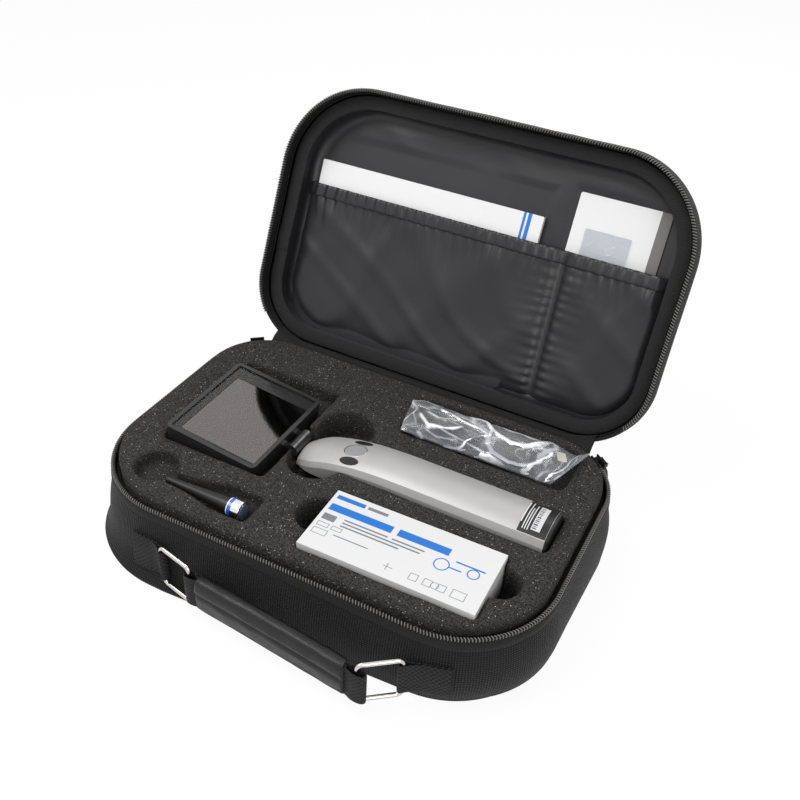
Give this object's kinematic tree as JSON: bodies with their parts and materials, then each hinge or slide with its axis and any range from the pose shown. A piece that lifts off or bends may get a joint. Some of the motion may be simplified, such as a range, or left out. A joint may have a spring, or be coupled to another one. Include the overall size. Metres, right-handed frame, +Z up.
{
  "type": "otoscope carry case",
  "caption": "Zip-up black nylon carry case, open on its fabric hinge, with a cut foam insert holding a video otoscope, its lens module, boxed specula and a bagged cable.",
  "frame": {"origin": "Centre of the base's flat underside, on the surface it rests on.", "axes": "+X to the user's right along the hinge line, +Y from the carry handle towards the hinge, +Z up. The lid stands open on the +Y side."},
  "size_m": [0.329, 0.3508, 0.2437],
  "materials": {
    "shell_nylon": "black ballistic nylon, plain weave, slight sheen",
    "liner_felt": "black brushed liner",
    "foam": "charcoal open-cell foam with light flecks",
    "zip_tape": "woven black zip tape",
    "hinge_webbing": "black woven webbing",
    "zip_coil": "black nylon coil",
    "webbing": "black nylon webbing with stitching",
    "lid_padding": "black padded board, cloth covered",
    "satin_lining": "black satin with soft folds",
    "ribbed_binding": "black ribbed binding tape",
    "ring_wire": "bright nickel-plated wire",
    "grip_core": "dark foam core",
    "grip_wrap": "black grained wrap, slight gloss",
    "slider_metal": "black painted zinc",
    "handle_plastic": "silver-grey painted plastic, satin",
    "smoked_window": "smoked window, gloss",
    "cap_plastic": "black plastic, satin",
    "label_film": "black label with plain white bars",
    "pad_rubber": "grey plastic, satin",
    "bezel_plastic": "black plastic, gloss",
    "screen_glass": "clear cover glass, polished",
    "lcd_black": "grey display, switched off",
    "pin_steel": "brushed steel",
    "lens_glass": "polished lens",
    "ring_chrome": "bright fluted chrome",
    "ring_blue": "blue plastic, gloss",
    "ring_white": "white plastic, gloss",
    "white_board": "white coated board, satin",
    "specula_plastic": "black plastic, gloss",
    "clear_film": "clear crumpled film",
    "cable_rubber": "black cable jacket",
    "booklet_paper": "white paper, matt",
    "card_paper": "white card, satin"
  },
  "bodies": {
    "base": {"base_shell": "shell_nylon", "base_liner": "liner_felt", "foam_base_pad": "foam", "foam_insert": "foam", "base_zip_tape": "zip_tape", "base_zip_coil": "zip_coil", "hinge_leaf_base": "hinge_webbing", "patch_left": "webbing", "patch_right": "webbing"},
    "lid": {"lid_shell": "shell_nylon", "lid_padding": "lid_padding", "lid_lining": "satin_lining", "lid_binding": "ribbed_binding", "lid_zip_tape": "zip_tape", "lid_zip_coil": "zip_coil", "hinge_leaf_lid": "hinge_webbing", "lid_pocket": "satin_lining", "pocket_hem": "satin_lining", "card": "card_paper", "card_sachet": "clear_film"},
    "ring_left": {"ring_left": "ring_wire"},
    "ring_right": {"ring_right": "ring_wire"},
    "grip": {"grip_core": "grip_core", "grip_cover": "grip_wrap", "grip_loop_left": "webbing", "grip_loop_right": "webbing"},
    "slider_left": {"zip_slider_left": "slider_metal"},
    "slider_right": {"zip_slider_right": "slider_metal"},
    "pull_left": {"zip_pull_left": "slider_metal"},
    "pull_right": {"zip_pull_right": "slider_metal"},
    "scope": {"handle_upper": "handle_plastic", "handle_lower": "handle_plastic", "indicator_windows": "smoked_window", "handle_end_cap": "cap_plastic", "handle_label": "label_film", "neck": "cap_plastic"},
    "control_pad": {"control_pad": "pad_rubber"},
    "monitor": {"monitor_bezel": "bezel_plastic", "monitor_rear": "bezel_plastic", "monitor_glass": "screen_glass", "lcd_panel": "lcd_black", "tilt_pin": "pin_steel"},
    "lens": {"lens_face": "lens_glass", "lens_chrome_ring": "ring_chrome", "lens_blue_ring": "ring_blue", "lens_white_ring": "ring_white", "lens_collar": "cap_plastic", "lens_arm": "cap_plastic"},
    "carton": {"specula_carton": "white_board", "specula": "specula_plastic"},
    "cable": {"cable_bag": "clear_film", "cable_coil": "cable_rubber", "cable_plug": "cap_plastic"},
    "booklet": {"booklet": "booklet_paper"}
  },
  "joints": [
    {"name": "lid_hinge", "type": "hinge", "parent": "base", "child": "lid", "pos_m": [0, 0.1015, 0.06], "axis": [1, 0, 0], "range_deg": [0, 115]},
    {"name": "grip_slide", "type": "slide", "parent": "base", "child": "grip", "axis": [0, -1, 0], "range_m": [-0.004, 0.008]},
    {"name": "ring_left_turn", "type": "hinge", "parent": "base", "child": "ring_left", "pos_m": [-0.079, -0.1108, 0.026], "axis": [0, 0, 1], "range_deg": [-17.6, 9]},
    {"name": "ring_right_turn", "type": "hinge", "parent": "base", "child": "ring_right", "pos_m": [0.095, -0.1108, 0.026], "axis": [0, 0, 1], "range_deg": [-11.5, 22.6]},
    {"name": "slider_left_run", "type": "hinge", "parent": "base", "child": "slider_left", "pos_m": [-0.11, 0.0515, 0.06], "axis": [0, 0, 1], "range_deg": [0, 8]},
    {"name": "slider_right_run", "type": "hinge", "parent": "base", "child": "slider_right", "pos_m": [0.11, 0.0515, 0.06], "axis": [0, 0, -1], "range_deg": [0, 8]},
    {"name": "pull_left_flip", "type": "hinge", "parent": "slider_left", "child": "pull_left", "pos_m": [-0.14432, 0.09241, 0.06], "axis": [0.766, 0.6428, 0], "range_deg": [0, 120]},
    {"name": "pull_right_flip", "type": "hinge", "parent": "slider_right", "child": "pull_right", "pos_m": [0.14432, 0.09241, 0.06], "axis": [0.766, -0.6428, 0], "range_deg": [0, 120]},
    {"name": "scope_lift", "type": "slide", "parent": "base", "child": "scope", "axis": [0, 0, -1], "range_m": [-0.045, 0]},
    {"name": "monitor_tilt", "type": "hinge", "parent": "scope", "child": "monitor", "pos_m": [-0.047, 0.0025, 0.06], "axis": [0, -1, 0], "range_deg": [-60, 0]},
    {"name": "control_pad_press", "type": "slide", "parent": "scope", "child": "control_pad", "axis": [0.1908, 0, -0.9816], "range_m": [0, 0.0006], "stiffness_N_per_m": 700, "springref_m": -0.0006},
    {"name": "lens_lift", "type": "slide", "parent": "base", "child": "lens", "axis": [0, 0, -1], "range_m": [-0.04, 0]},
    {"name": "carton_lift", "type": "slide", "parent": "base", "child": "carton", "axis": [0, 0, -1], "range_m": [-0.05, 0]},
    {"name": "cable_lift", "type": "slide", "parent": "base", "child": "cable", "axis": [0, 0, -1], "range_m": [-0.04, 0]},
    {"name": "booklet_slide", "type": "slide", "parent": "lid", "child": "booklet", "axis": [0, -0.4226, -0.9063], "range_m": [-0.018, 0]}
  ],
  "couplings": [
    {"joint": "ring_left_turn", "follows": "grip_slide", "rad_per_m": -37.9},
    {"joint": "ring_right_turn", "follows": "grip_slide", "rad_per_m": 48.9}
  ]
}
